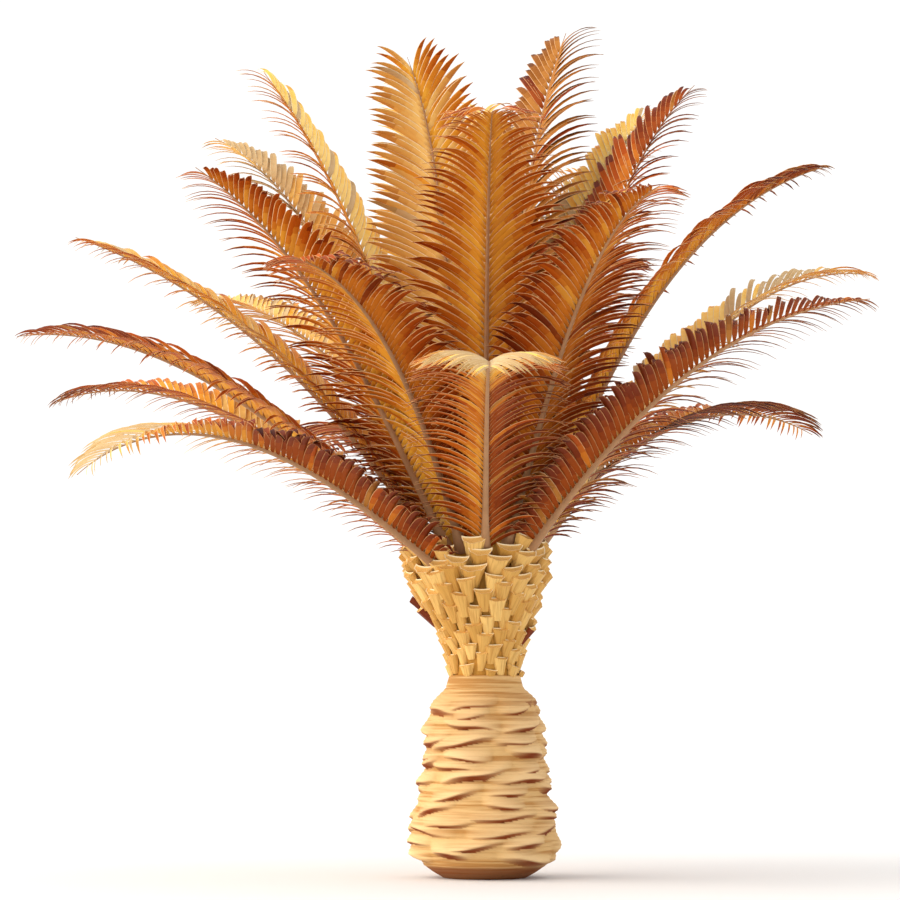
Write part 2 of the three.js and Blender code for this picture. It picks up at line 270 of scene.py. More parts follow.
LIP_WAVER = 0.008
LIP_ROUND, LIP_ROUNDING = 0.010, 0.18  # how high the rounding of a lip is, and the part that it takes off
FOLD_FALL = (0.09, 0.16)  # how far above its lip a fold dies away
FALL_SHAPE, END_SHAPE = 1.5, 0.8  # over 1 a slope is hollow, and under 1 it is full
UNDERSIDE = (0.040, 0.066)  # how far below its lip a fold comes back to the trunk
UNDERSIDE_AT_ENDS = 0.4  # of that, at the ends of a fold
PAINTED_SHADE_SPAN, PAINTED_SHADE_EDGE = 0.85, 0.014  # how much of a lip has painted shade below it, and how high the shade's edge is
NECK, NECK_RELIEF = (1.2, 1.45), 0.5  # where the folds get flatter, and how much
SETS_IN, DIES_OUT = (0.04, 0.14), (1.46, 1.57)  # the heights that the folds stay between
SUNKEN = 0.006  # how far the bark lies in between the folds
FOOT_BEVEL = (0.075, 0.125)  # where the bevel that the trunk stands on ends; below that the foot is painted dark, as shade
# How dark the painted shade on the trunk's foot is.
BEVEL_SHADE = 0.8
FIBRE_RELIEF, FIBRE_PITCH = 0.0034, 0.0046  # the pitch is that of one radian of the wave

trunk = cylinder("trunk_bark", TRUNK_SIDES, TRUNK_HEIGHT, TRUNK_CUTS)
points = points_of(trunk)
height = points[:, 2]
around = np.arctan2(points[:, 1], points[:, 0])
on_side = np.hypot(points[:, 0], points[:, 1]) > 0.5
heights, half_widths = np.array(TRUNK_OUTLINE).T * MM
core = np.interp(height, heights, half_widths)
core += UNEVENNESS * np.sin(3 * around + 4 * height) * np.sin(5 * height + 1)
print("trunk", len(points), "points, half-widths", round(core.min(), 3), "to", round(core.max(), 3), "m")

# %% The relief of the folds
folds = random.Random(18)
relief = np.zeros(len(points))
painted_shade = np.zeros(len(points))
for row in range(FOLD_ROWS):
    row_height = FOLD_FROM + (FOLD_TO - FOLD_FROM) * row / (FOLD_ROWS - 1)
    turn = folds.uniform(0, 2 * math.pi)
    for number in range(FOLDS_IN_ROW):
        middle = turn + 2 * math.pi * number / FOLDS_IN_ROW + folds.uniform(-FOLD_SHIFT, FOLD_SHIFT)
        half_span = folds.uniform(*FOLD_HALF_SPAN)
        lip_height = row_height + folds.uniform(-ROW_SHIFT, ROW_SHIFT)
        slant = math.tan(math.radians(folds.uniform(*FOLD_SLANT)))
        waver = folds.uniform(0, 2 * math.pi)
        fade = 1 - smoothstep(lip_height, *NECK) * NECK_RELIEF
        proud = folds.uniform(*LIP_RELIEF) * fade
        fall = folds.uniform(*FOLD_FALL)
        under = folds.uniform(*UNDERSIDE)
        away = (around - middle + math.pi) % (2 * math.pi) - math.pi
        share = np.clip(np.abs(away) / half_span, 0, 1)
        reach = (1 - share ** 2) ** END_SHAPE
        lip = lip_height + slant * away * core + LIP_WAVER * np.sin(7 * around + waver)
        above = height - lip
        slope = np.clip(1 - np.maximum(above, 0) / fall, 0, 1) ** FALL_SHAPE
        comes_back = under * (UNDERSIDE_AT_ENDS + (1 - UNDERSIDE_AT_ENDS) * reach)
        rounding = 1 - LIP_ROUNDING * np.exp(-np.abs(above) / LIP_ROUND)
        profile = np.where(above >= 0, slope, 1 - smoothstep(-above, 0, comes_back)) * rounding
        stands = proud * reach * profile
        proudest = stands > relief
        relief = np.where(proudest, stands, relief)
        # Painted shade: a lens of dark colour just under the lip, where the fold's underside is in shade.
        lens = np.clip(1 - (share / PAINTED_SHADE_SPAN) ** 2, 0, 1) * smoothstep(-above, 0, PAINTED_SHADE_EDGE)
        painted_shade = np.where(proudest, lens * min(1, proud / LIP_RELIEF[0]), painted_shade)

ends = smoothstep(height, *SETS_IN) * (1 - smoothstep(height, *DIES_OUT))
relief *= ends
# The foot is painted dark as well, as shade on its bevel.
painted_shade = np.maximum(painted_shade * ends, BEVEL_SHADE * (1 - smoothstep(height, *FOOT_BEVEL)))
winding = 3 * np.sin(2 * around) + 2 * np.sin(5 * around + 1)
ripple = FIBRE_RELIEF * np.sin(height / FIBRE_PITCH + winding) * ends
radius = np.where(on_side, core - SUNKEN * ends + relief + ripple, 0)
move_points(trunk, np.stack((np.cos(around) * radius, np.sin(around) * radius, height), axis=1))
# For the material: where shade is painted, and how proud the folds stand, for a painted highlight.
store(trunk, "painted_shade", painted_shade)
store(trunk, "proud", relief / LIP_RELIEF[1])
smooth_by_angle(trunk, 75)
print(f"{FOLD_ROWS * FOLDS_IN_ROW} folds, the proudest {relief.max():.3f} m")

# %% [markdown]
# ## Old palm bark
#
# The bark is dead leaf-base tissue: cork and fibre, bleached straw-yellow by the sun, and matt. The mesh
# knows where its hollows and its proudest folds are, so painted shade turns the hollows under the lips and
# the foot dark brown, and a painted highlight makes the proudest parts paler, both following the real
# relief. The fine lines are the fibres, which run round the trunk.

# %% Bark material
FIBRE_LINES = 1 / 0.024  # courses of fibre about 24 mm apart
BLOTCHES, SQUASHED = 3.5, 9  # blotches to the metre round the trunk, and how many times as many up it

bark, tree = new_material("sun-bleached palm bark")
place = add_node(tree, "ShaderNodeTexCoord")
squash = add_node(tree, "ShaderNodeMapping", {"Vector": place.outputs["Object"], "Scale": (1, 1, SQUASHED)})
blotches = add_node(tree, "ShaderNodeTexNoise", {
    "Vector": squash.outputs[0], "Scale": BLOTCHES, "Detail": 6})
streaks = add_node(tree, "ShaderNodeMapping", {
    "Vector": place.outputs["Object"], "Scale": (1.2, 1.2, FIBRE_LINES)})
fibres = add_node(tree, "ShaderNodeTexNoise", {"Vector": streaks.outputs[0], "Scale": 1.0, "Detail": 4})
# The painted shade and the fold heights for the painted highlight, as the mesh stores them.
painted_shade_at = add_node(tree, "ShaderNodeAttribute", attribute_name="painted_shade")
crest_highlight_at = add_node(tree, "ShaderNodeAttribute", attribute_name="proud")
pale = add_node(tree, "ShaderNodeMix", data_type="RGBA", inputs={
    SHARE: blotches.outputs[0], ONE: linear("E0BA82"), OTHER: linear("CDA468")})
lines = add_node(tree, "ShaderNodeMapRange", {
    "Value": fibres.outputs[0], "From Min": 0.46, "From Max": 0.60, "To Min": 0.0, "To Max": 0.75})
lined = add_node(tree, "ShaderNodeMix", data_type="RGBA", inputs={
    SHARE: lines.outputs[0], ONE: pale.outputs[MIXED], OTHER: linear("A66E2C")})
# Painted highlight: the proudest parts of the folds are paler. Painted shade: under the lips and on the
# foot the colour is dark brown.
raised = add_node(tree, "ShaderNodeMix", data_type="RGBA", inputs={
    SHARE: crest_highlight_at.outputs["Fac"], ONE: lined.outputs[MIXED], OTHER: linear("ECCB98")})
with_painted_shade = add_node(tree, "ShaderNodeMix", data_type="RGBA", inputs={
    SHARE: painted_shade_at.outputs["Fac"], ONE: raised.outputs[MIXED], OTHER: linear("7C3610")})
bump = add_node(tree, "ShaderNodeBump", {"Strength": 0.5, "Distance": 0.006, "Height": fibres.outputs[0]})
finish_material(tree, with_painted_shade.outputs[MIXED], 0.85, bump.outputs[0])
trunk.data.materials.append(bark)
settle(trunk, "bark", "trunk")

# %% [markdown]
# ## The collar of pruned leaf bases
#
# Each old frond was sawn off a hand's breadth from the stem. What stays is a woody wedge: narrow where it
# leaves the stem, wide and crescent-shaped where the saw went through, round on its back and hollow
# towards the stem. One wedge is modelled from a circle that is extruded and widened, and then
# copied up the stem on the spiral that the palm itself follows, a golden angle from each to the next.

# %% One leaf base
# A leaf base is one wide and one long here, and gets its real size with its place.
WEDGE_SIDES = 18
WEDGE_RINGS = 5
WEDGE_HALF = 0.5
ROOT_SCALE = 0.50  # of the root, against the cut face
BACK_BULGE, BACK_FULLNESS = 0.38, 0.9
RIDGES, RIDGE_HEIGHT = 7, 0.10
HOLLOW_RISE, HOLLOW_DEPTH = 0.14, 0.06
RIM_WIDTH, RIM_HEIGHT = 0.038, 0.020

deselect()
bpy.ops.mesh.primitive_circle_add(vertices=WEDGE_SIDES, radius=WEDGE_HALF, fill_type="NGON")
wedge = bpy.context.object
wedge.name = "leaf_base"
crescent = points_of(wedge)
turn = np.arctan2(crescent[:, 1], crescent[:, 0])
crescent[:, 0] = WEDGE_HALF * np.cos(turn)
ridged = 1 + RIDGE_HEIGHT * np.cos(RIDGES * turn)
outer_side = BACK_BULGE * np.maximum(np.sin(turn), 0) ** BACK_FULLNESS * ridged
inner_side = HOLLOW_RISE * np.abs(np.sin(turn)) - HOLLOW_DEPTH
crescent[:, 1] = np.where(np.sin(turn) > 0.01, outer_side, inner_side)
move_points(wedge, crescent * np.array((ROOT_SCALE, ROOT_SCALE, 1)))
bpy.ops.object.mode_set(mode="EDIT")
bpy.ops.mesh.select_all(action="SELECT")
for ring in range(WEDGE_RINGS):
    wider = 1 + (1 - ROOT_SCALE) / (ROOT_SCALE * WEDGE_RINGS + (1 - ROOT_SCALE) * ring)
    bpy.ops.mesh.extrude_region_move(TRANSFORM_OT_translate={"value": (0, 0, 1 / WEDGE_RINGS)})
    bpy.ops.transform.resize(value=(wider, wider, 1), center_override=(0, 0, 0))
bpy.ops.mesh.inset(thickness=RIM_WIDTH)
bpy.ops.transform.translate(value=(0, 0, -RIM_HEIGHT))
bpy.ops.object.mode_set(mode="OBJECT")
SKIN_SLOT, SAWN_SLOT, RIM_SLOT = 0, 1, 2
for face in wedge.data.polygons:
    looks_up = face.normal.z > 0.5
    face.material_index = SAWN_SLOT if face.select else RIM_SLOT if looks_up else SKIN_SLOT
bpy.ops.object.mode_set(mode="EDIT")
bpy.ops.mesh.select_all(action="SELECT")
bpy.ops.mesh.normals_make_consistent(inside=False)
bpy.ops.object.mode_set(mode="OBJECT")
print("leaf base:", len(wedge.data.polygons), "faces,", [round(v, 2) for v in wedge.dimensions])

# %% [markdown]
# ## Many copies as one mesh
#
# Hundreds of leaf bases and thousands of leaflets would be slow as single objects. So the pattern mesh is
# read once, its points are placed once for every copy, and all the copies become one mesh, each with its
# own faces.

# %% Copies of a pattern mesh, joined


def joined_copies(name, pattern, placed, materials, slots=None, **values):
    """One mesh with a copy of the pattern for each row of `placed`, an array of copies × points × 3.

    `slots` may give every copy's faces their own material slots, as copies × faces. Each of `values` is an
    array of copies × points, which the mesh keeps under its name.
    """
    copies, size = placed.shape[0], placed.shape[1]
    faces = [list(face.vertices) for face in pattern.data.polygons]
    counts = np.array([len(face) for face in faces])
    corners = np.concatenate(faces)
    starts = np.concatenate(([0], np.cumsum(counts)[:-1]))
    if slots is None:
        slots = np.tile([face.material_index for face in pattern.data.polygons], copies)
    mesh = bpy.data.meshes.new(name)
    mesh.vertices.add(copies * size)
    mesh.vertices.foreach_set("co", np.ascontiguousarray(placed).ravel())
    mesh.loops.add(copies * len(corners))
    mesh.loops.foreach_set("vertex_index", (corners + size * np.arange(copies)[:, None]).ravel())
    mesh.polygons.add(copies * len(faces))
    mesh.polygons.foreach_set("loop_start", (starts + len(corners) * np.arange(copies)[:, None]).ravel())
    mesh.polygons.foreach_set("material_index", np.ravel(slots))
    mesh.update(calc_edges=True)
    for material in materials:
        mesh.materials.append(material)
    piece = bpy.data.objects.new(name, mesh)
    bpy.context.scene.collection.objects.link(piece)
    for label, rows in values.items():
        store(piece, label, np.ascontiguousarray(rows).ravel())
    return piece


# %% Leaf bases up the stem
COLLAR_OUTLINE = [
    (1600, 262), (1800, 292), (1960, 344), (2080, 404), (2200, 440), (2340, 446), (2550, 425), (2650, 385),
    (2790, 290),
]
BASE_COUNT = 165
BASE_CROWDING = 0.84  # under 1, the lower and smaller ones stand closer together
GOLDEN_ANGLE = 137.508
# At the bottom and at the top of the collar.
BASE_ROOT_HEIGHT = (1.50, 2.50)
BASE_WIDTH = (0.108, 0.200)
BASE_LENGTH = (0.13, 0.27)
BASE_LEAN = (12, 35)
# How much the bases differ: as parts of the size, and in degrees.
WIDTH_SCATTER, LENGTH_SCATTER = (0.80, 1.14), (0.84, 1.10)
LEAN_SCATTER, TURN_SCATTER, SKEW_SCATTER = 4, 4, 9
BASE_ROOT_DEPTH = 0.012
CUT_SLANT, CUT_FALL = 0.22, (0.1, 0.5)  # how the saw tilted, sideways and outwards
CUT_FROM = 0.9  # only the cut end of a base, past this part of its length, is tilted
CUT_FLARE = 0.12
LOWEST_POINT = 1.585  # the lowest bases end just inside the top of the trunk
CROWN_LEAN, LEANS_FROM_TO = 0.064, (0.3, 0.75)  # the top of the collar stands this far to the left
WEATHERED = ((176, 2.12), (356, 1.93))  # azimuth and height of the old stubs that went dark
STUB_WITHIN, STUB_REACH = 13, 0.06  # degrees and metres round those places
STUB_MIDDLE = 0.1  # how far over its root the middle of a stub is
STUB_LEAN, STUB_LENGTH = 0.30, 0.92  # those lean further out, in radians, and are shorter
print(BASE_COUNT, "leaf bases, each", GOLDEN_ANGLE, "degrees on from the one before")

# %% Each leaf base in its place
dealt = random.Random(5)
pattern = points_of(wedge)
x, y, z = pattern.T
heights, half_widths = np.array(COLLAR_OUTLINE).T * MM
bases = []
for number in range(BASE_COUNT):
    climb = ((number + 0.5) / BASE_COUNT) ** BASE_CROWDING
    wide, long, lean = (low + (high - low) * climb for low, high in (BASE_WIDTH, BASE_LENGTH, BASE_LEAN))
    wide *= dealt.uniform(*WIDTH_SCATTER)
    long *= dealt.uniform(*LENGTH_SCATTER)
    lean = math.radians(lean + dealt.uniform(-LEAN_SCATTER, LEAN_SCATTER))
    root_height = BASE_ROOT_HEIGHT[0] + (BASE_ROOT_HEIGHT[1] - BASE_ROOT_HEIGHT[0]) * climb
    degrees = (number * GOLDEN_ANGLE + dealt.uniform(-TURN_SCATTER, TURN_SCATTER)) % 360
    weathered = any(abs(degrees - turn) < STUB_WITHIN and abs(root_height + STUB_MIDDLE - up) < STUB_REACH
                    for turn, up in WEATHERED)
    if weathered:
        lean, long = lean + STUB_LEAN, long * STUB_LENGTH
    azimuth = math.radians(degrees)
    out = np.array((math.cos(azimuth), math.sin(azimuth), 0))
    side = np.array((-math.sin(azimuth), math.cos(azimuth), 0))
    upward = np.array((0, 0, 1))
    skew = math.radians(dealt.uniform(-SKEW_SCATTER, SKEW_SCATTER))
    axis = out * math.sin(lean) + upward * math.cos(lean) + side * math.sin(skew)
    back = out * math.cos(lean) - upward * math.sin(lean)
    root = out * (np.interp(root_height, heights, half_widths) - BASE_ROOT_DEPTH) + upward * root_height
    root[0] -= CROWN_LEAN * smoothstep(climb, *LEANS_FROM_TO)
    saw_tilt = dealt.uniform(-CUT_SLANT, CUT_SLANT) * x - dealt.uniform(*CUT_FALL) * y
    along = long * z + wide * saw_tilt * (z > CUT_FROM)
    flare = 1 + CUT_FLARE * z ** 3
    body = root + np.outer(along, axis) + np.outer(x * wide * flare, side) + np.outer(y * wide, back)
    body[:, 2] = np.maximum(body[:, 2], LOWEST_POINT)
    bases.append((body, weathered, dealt.random(), x * wide + number, along + number))
print(f"{len(bases)} leaf bases, {sum(base[1] for base in bases)} of them weathered")

# %% [markdown]
# ## Sawn palm wood and leaf-base skin
#
# The outside of a leaf base is the leathery skin of the old stalk, golden when dry, with lengthwise
# creases and a soft sheen. A few old stubs have weathered to a dark red-brown. The cut face is pale,
# spongy and full of the dark ends of fibre bundles, and its rim bleaches first, so a pale line outlines
# every base.

# %% Leaf-base skin
CREASE = 0.013  # from one crease to the next, coarser than life, so that it shows
CREASE_LENGTH = 0.2


def stalk_skin(name, dull, bright, crease):
    """The skin of a leaf base, creased lengthwise wherever the base itself points."""
    material, tree = new_material(name)
    across = add_node(tree, "ShaderNodeAttribute", attribute_name="across")
    along = add_node(tree, "ShaderNodeAttribute", attribute_name="along")
    fine = add_node(tree, "ShaderNodeMath", {0: across.outputs["Fac"], 1: 1 / CREASE}, operation="MULTIPLY")
    drawn_out = add_node(tree, "ShaderNodeMath", {0: along.outputs["Fac"], 1: 1 / CREASE_LENGTH},
                         operation="MULTIPLY")
    place = add_node(tree, "ShaderNodeCombineXYZ", {"X": fine.outputs[0], "Y": drawn_out.outputs[0]})
    creases = add_node(tree, "ShaderNodeTexNoise", {"Vector": place.outputs[0], "Scale": 1.0, "Detail": 2})
    tint = add_node(tree, "ShaderNodeAttribute", attribute_name="tint")
    gold = add_node(tree, "ShaderNodeMix", data_type="RGBA", inputs={
        SHARE: tint.outputs["Fac"], ONE: linear(dull), OTHER: linear(bright)})
    lines = add_node(tree, "ShaderNodeMapRange", {
        "Value": creases.outputs[0], "From Min": 0.48, "From Max": 0.70, "To Min": 0.0, "To Max": 0.6})
    creased = add_node(tree, "ShaderNodeMix", data_type="RGBA", inputs={
        SHARE: lines.outputs[0], ONE: gold.outputs[MIXED], OTHER: linear(crease)})
    bump = add_node(tree, "ShaderNodeBump", {
        "Strength": 0.5, "Distance": 0.004, "Height": creases.outputs[0]})
    finish_material(tree, creased.outputs[MIXED], 0.55, bump.outputs[0])
    return material


skin = stalk_skin("dry palm stalk skin", "C89444", "ECC376", "AC7834")
old_skin = stalk_skin("weathered palm stalk skin", "6E2A0A", "8A3A12", "4A1A06")
print(skin.name, "and", old_skin.name)

# %% The cut face and its rim
FIBRE_BUNDLE = 0.010  # from one bundle to the next, coarser than life, so that it shows
RIM_WEAR = 60  # worn spots to the metre

sawn, tree = new_material("sawn palm stalk")
place = add_node(tree, "ShaderNodeTexCoord")
bundles = add_node(tree, "ShaderNodeTexVoronoi", {
    "Vector": place.outputs["Object"], "Scale": 1 / FIBRE_BUNDLE})
dots = add_node(tree, "ShaderNodeMapRange", {
    "Value": bundles.outputs[0], "From Min": 0.12, "From Max": 0.3, "To Min": 1.0, "To Max": 0.0})
speckled = add_node(tree, "ShaderNodeMix", data_type="RGBA", inputs={
    SHARE: dots.outputs[0], ONE: linear("E2B468"), OTHER: linear("B07830")})
bump = add_node(tree, "ShaderNodeBump", {"Strength": 0.4, "Distance": 0.002, "Height": bundles.outputs[0]})
finish_material(tree, speckled.outputs[MIXED], 0.8, bump.outputs[0])

rim, tree = new_material("bleached saw rim")
place = add_node(tree, "ShaderNodeTexCoord")
wear = add_node(tree, "ShaderNodeTexNoise", {
    "Vector": place.outputs["Object"], "Scale": RIM_WEAR, "Detail": 3})
worn = add_node(tree, "ShaderNodeMix", data_type="RGBA", inputs={
    SHARE: wear.outputs[0], ONE: linear("FFF0CC"), OTHER: linear("F0D8A4")})
finish_material(tree, worn.outputs[MIXED], 0.75)
print(sawn.name, "and", rim.name)

# %% All leaf bases, as two meshes
for name, old, finish in (("pruned_leaf_bases", False, skin), ("weathered_leaf_bases", True, old_skin)):
    placed, _, tints, across, along = zip(*(base for base in bases if base[1] == old))
    piece = joined_copies(name, wedge, np.array(placed), (finish, sawn, rim), across=np.array(across),
                          along=np.array(along), tint=np.repeat(tints, len(pattern)))
    smooth_by_angle(piece, 40)
    settle(piece, "leaf_base", *(() if old else ("leaf_base_collar",)))
bpy.data.objects.remove(wedge)

# %% [markdown]
# ## The fibre between the leaf bases
#
# Between the bases and over the heart lies the sheath: brown fibre, woven by nature like coarse sacking.
# A lathed body would be too smooth, so the points of a ringed cylinder follow the stem's outline over the
# dome to the middle, and a fine two-way ripple gives the matted fibre its unevenness.

# %% Fibre body
FIBRE_OUTLINE = [
    (1590, 250), (1800, 282), (1960, 325), (2140, 383), (2320, 418), (2550, 416), (2680, 385), (2780, 300),
    (2850, 170), (2875, 0),
]
FIBRE_SIDES, FIBRE_CUTS = 96, (9, 5)
WEAVE_RELIEF, WEAVES_ROUND, WEAVES_UP = 0.006, 38, 60
WEAVE_FROM = 0.05  # the middle of the dome is left smooth
DOME_TIP = 0.0005  # the half-width at the very top, where the points are merged
MERGE_WITHIN = 0.002

fibre_heights, fibre_widths = np.array(FIBRE_OUTLINE).T * MM
fibre = cylinder("sheath_fibre", FIBRE_SIDES, 1.0, FIBRE_CUTS)
points = points_of(fibre)
share = points[:, 2]
around = np.arctan2(points[:, 1], points[:, 0])
steps = np.concatenate(([0], np.cumsum(np.hypot(np.diff(fibre_heights), np.diff(fibre_widths)))))
along = share * steps[-1]
height = np.interp(along, steps, fibre_heights)
radius = np.interp(along, steps, fibre_widths)
rising, falling = WEAVES_ROUND * around + WEAVES_UP * height, WEAVES_ROUND * around - WEAVES_UP * height
ripple = WEAVE_RELIEF * np.sin(rising) * np.sin(falling)
radius = np.maximum(radius + ripple * (radius > WEAVE_FROM), DOME_TIP)
points = np.stack((np.cos(around) * radius, np.sin(around) * radius, height), axis=1)
move_points(fibre, points)
deselect()
fibre.select_set(True)
bpy.context.view_layer.objects.active = fibre
bpy.ops.object.mode_set(mode="EDIT")
bpy.ops.mesh.select_all(action="SELECT")
bpy.ops.mesh.remove_doubles(threshold=MERGE_WITHIN)
bpy.ops.mesh.normals_make_consistent(inside=False)
bpy.ops.object.mode_set(mode="OBJECT")
smooth_by_angle(fibre, 50)
print("fibre body", len(fibre.data.polygons), "faces, up to", round(height.max(), 3), "m")

# %% Sheath material
STRANDS_ROUND, STRANDS_UP = 60, 12  # strands to the metre, which run up the stem

sacking, tree = new_material("palm sheath fibre")
place = add_node(tree, "ShaderNodeTexCoord")
drawn_out = add_node(tree, "ShaderNodeMapping", {
    "Vector": place.outputs["Object"], "Scale": (STRANDS_ROUND, STRANDS_ROUND, STRANDS_UP)})
strands = add_node(tree, "ShaderNodeTexNoise", {"Vector": drawn_out.outputs[0], "Scale": 1.0, "Detail": 5})
brown = add_node(tree, "ShaderNodeMix", data_type="RGBA", inputs={
    SHARE: strands.outputs[0], ONE: linear("B0762A"), OTHER: linear("D8A44E")})
bump = add_node(tree, "ShaderNodeBump", {"Strength": 0.8, "Distance": 0.006, "Height": strands.outputs[0]})
finish_material(tree, brown.outputs[MIXED], 0.9, bump.outputs[0])
fibre.data.materials.append(sacking)
settle(fibre, "heart_fibre", "crown_heart")

# %% [markdown]
# ## How each frond stands
#
# A feather frond leaves the crown at its own steepness and bends down more and more towards its tip.
# These are nearly the stances that the CAD blades have: the way the frond points, its rise, its droop by
# the tip, how late it droops, and its length. The foot sits on the collar's side, on the rim or up the
# dome, by its rise. Two more numbers belong to the leaflets: how far the rib twists, and how far both
# wings stand up from it.
#
# The colours go with the stances. A dry frond is not one colour, so each wing has a few colours, spread
# evenly from its foot to its tip. They are partly the leaflets' own dry colours and partly painted light
# and shade: a wing that faces the lamp is given lighter golds, and one in shade darker rusts and russets.
# The left wing comes first, looking out along the frond from the trunk.

# %% Stances and colours
# The wing colours below are partly the leaflets' own colours and partly painted light and shade: lighter
# where a wing faces the lamp, darker where it is in shade.
FRONDS = {  # azimuth, rise, droop, bend, length, twist and wing rise, and the colours of the two wings
    "outer_frond_1": (222, 31, 73, 2.3, 3.95, 0, 35, "russet russet straw", "rust tan straw"),
    "outer_frond_2": (197, 41, 53, 2.6, 3.96, 14, 35, "honey amber rust", "copper rust russet"),
    "outer_frond_3": (157, 38, 61, 2.6, 4.05, 8, 35, "honey amber russet", "tan tan russet"),
    "outer_frond_4": (112, 36, 60, 2.2, 3.95, 0, 35, "russet rust rust", "russet rust rust"),
    "outer_frond_5": (80, 42, 62, 2.0, 3.95, 0, 35, "russet rust rust", "russet rust amber"),
    "outer_frond_6": (43, 44, 65, 1.5, 4.03, 0, 35, "amber rust honey", "rust russet russet"),
    "outer_frond_7": (17, 52, 67, 3.4, 4.05, -8, 35, "gold gold tan", "tan tan honey"),
    "outer_frond_8": (318, 46, 49, 1.7, 3.98, 0, 35, "russet russet russet", "russet russet russet"),
    "outer_frond_9": (270, 46, 66, 1.3, 3.99, 0, 35,
                      "russet russet russet straw straw", "rust copper rust straw straw"),
    "middle_frond_1": (243, 57, 60, 1.8, 3.60, 0, 35, "russet rust rust", "honey amber rust"),
    "middle_frond_2": (223, 57, 36, 2.5, 3.90, -4, 35, "honey amber rust", "rust copper rust"),
    "middle_frond_3": (177, 57, 39, 1.4, 3.99, 8, 31, "rust tan amber", "honey honey tan"),
    "middle_frond_4": (157, 68, 44, 3.4, 4.10, 14, 35, "tan tan gold", "gold tan straw"),
    "middle_frond_5": (134, 58, 52, 1.4, 4.02, 10, 35, "russet honey tan", "rust tan tan"),
    "middle_frond_6": (104, 58, 50, 2.0, 3.95, 0, 35, "russet rust amber", "rust rust amber"),
    "middle_frond_7": (66, 59, 48, 2.2, 3.95, 0, 35, "rust rust amber", "russet rust amber"),
    "middle_frond_8": (28, 78, 29, 2.6, 3.86, -12, 35, "honey honey gold gold gold", "honey gold gold"),
    "middle_frond_9": (10, 75, 33, 3.9, 4.03, -22, 35, "copper copper russet", "amber rust russet"),
    "middle_frond_10": (359, 66, 55, 2.6, 4.05, 0, 35, "honey amber russet", "honey amber russet"),
    "middle_frond_11": (296, 59, 56, 3.0, 3.72, 0, 35, "rust rust rust", "rust rust rust"),
    "inner_frond_1": (173, 76, 23, 1.9, 4.12, 15, 28, "gold honey honey", "gold gold gold"),
    "inner_frond_2": (228, 84, 28, 4.5, 3.80, -38, 25, "gold tan honey", "tan tan tan"),
    "inner_frond_3": (271, 80, 82, 2.3, 3.95, 0, 34, "copper amber copper", "amber amber amber"),
    "inner_frond_4": (52, 85, 26, 2.4, 4.33, 3, 25, "umber umber umber", "russet umber umber"),
    "inner_frond_5": (64, 78, 56, 1.9, 3.70, -56, 30, "honey honey tan", "honey honey honey"),
    "inner_frond_6": (90, 83, 38, 2.6, 3.90, 0, 30, "tan gold gold", "amber tan tan"),
    "inner_frond_7": (119, 80, 8, 2.6, 3.92, 0, 30, "gold gold gold", "honey honey honey"),
}

# %% Where a frond's foot sits, and the line of its rib
HEART_BASE, HEART_RADIUS, HEART_HEIGHT = 2.5503, 0.425, 0.320  # the dome that steep fronds stand on
COLLAR_RADIUS = 0.430
RIM_RISE = 47  # a frond that rises more steeply stands on the dome, and a lower one on the collar's side
SIDE_STEP = 0.0088  # metres down the side for each degree under that
DOME_STEP, DOME_STEP_GROWTH = 1.1, 0.012  # degrees up the dome for each degree over it
SEAT_DEPTH = 0.045  # how far a rib starts inside the crown
RIB_STEPS = 60
TWIST_FROM_TO = (0.02, 0.35)  # the stretch of the rib that the twist happens in


def turned(azimuth):
    """The level direction at an azimuth, in degrees from the right, by the back."""
    return np.array((math.cos(math.radians(azimuth)), math.sin(math.radians(azimuth)), 0))


UPWARD = np.array((0.0, 0.0, 1.0))


def foot_of(azimuth, rise):
    """Where the rib leaves the crown: low fronds on the collar's side, steep ones up the heart's dome."""
    over = rise - RIM_RISE
    if over < 0:
        return turned(azimuth) * COLLAR_RADIUS + UPWARD * (HEART_BASE + SIDE_STEP * over)
    seat = math.radians(DOME_STEP * over + DOME_STEP_GROWTH * over ** 2)
    on_dome = HEART_BASE + HEART_HEIGHT * math.sin(seat)
    return turned(azimuth) * HEART_RADIUS * math.cos(seat) + UPWARD * on_dome


class Rib:
    """The middle line of a frond, from its seat in the crown to its tip."""

    def __init__(self, azimuth, rise, droop, bend, length, twist, wing_rise):
        self.out, self.left = turned(azimuth), turned(azimuth + 90)
        self.rise, self.droop, self.bend = rise, droop, bend
        self.twist, self.wing_rise = twist, wing_rise
        step = (length + SEAT_DEPTH) / RIB_STEPS
        line = [foot_of(azimuth, rise) - SEAT_DEPTH * self.tangent(0)]
        for number in range(RIB_STEPS):
            line.append(line[-1] + step * self.tangent((number + 0.5) / RIB_STEPS))
        self.line = np.array(line)

    def tangent(self, share):
        """The direction of the rib at a share of its length."""
        angle = math.radians(self.rise - self.droop * max(share, 0) ** self.bend)
        return self.out * math.cos(angle) + UPWARD * math.sin(angle)

    def faces(self, share):
        """The directions of the rib's left side and of its upper face, after its twist."""
        above = np.cross(self.tangent(share), self.left)
        angle = math.radians(self.twist) * smoothstep(share, *TWIST_FROM_TO)
        return (math.cos(angle) * self.left - math.sin(angle) * above,
                math.cos(angle) * above + math.sin(angle) * self.left)

    def point(self, share):
        """The place on the rib at a share of its length."""
        steps = np.arange(RIB_STEPS + 1)
        return np.array([np.interp(share * RIB_STEPS, steps, places) for places in self.line.T])


ribs = {name: Rib(*stance[:-2]) for name, stance in FRONDS.items()}
highest = max(rib.line[:, 2].max() for rib in ribs.values())
print(f"{len(ribs)} ribs, the highest tip at {highest:.2f} m")

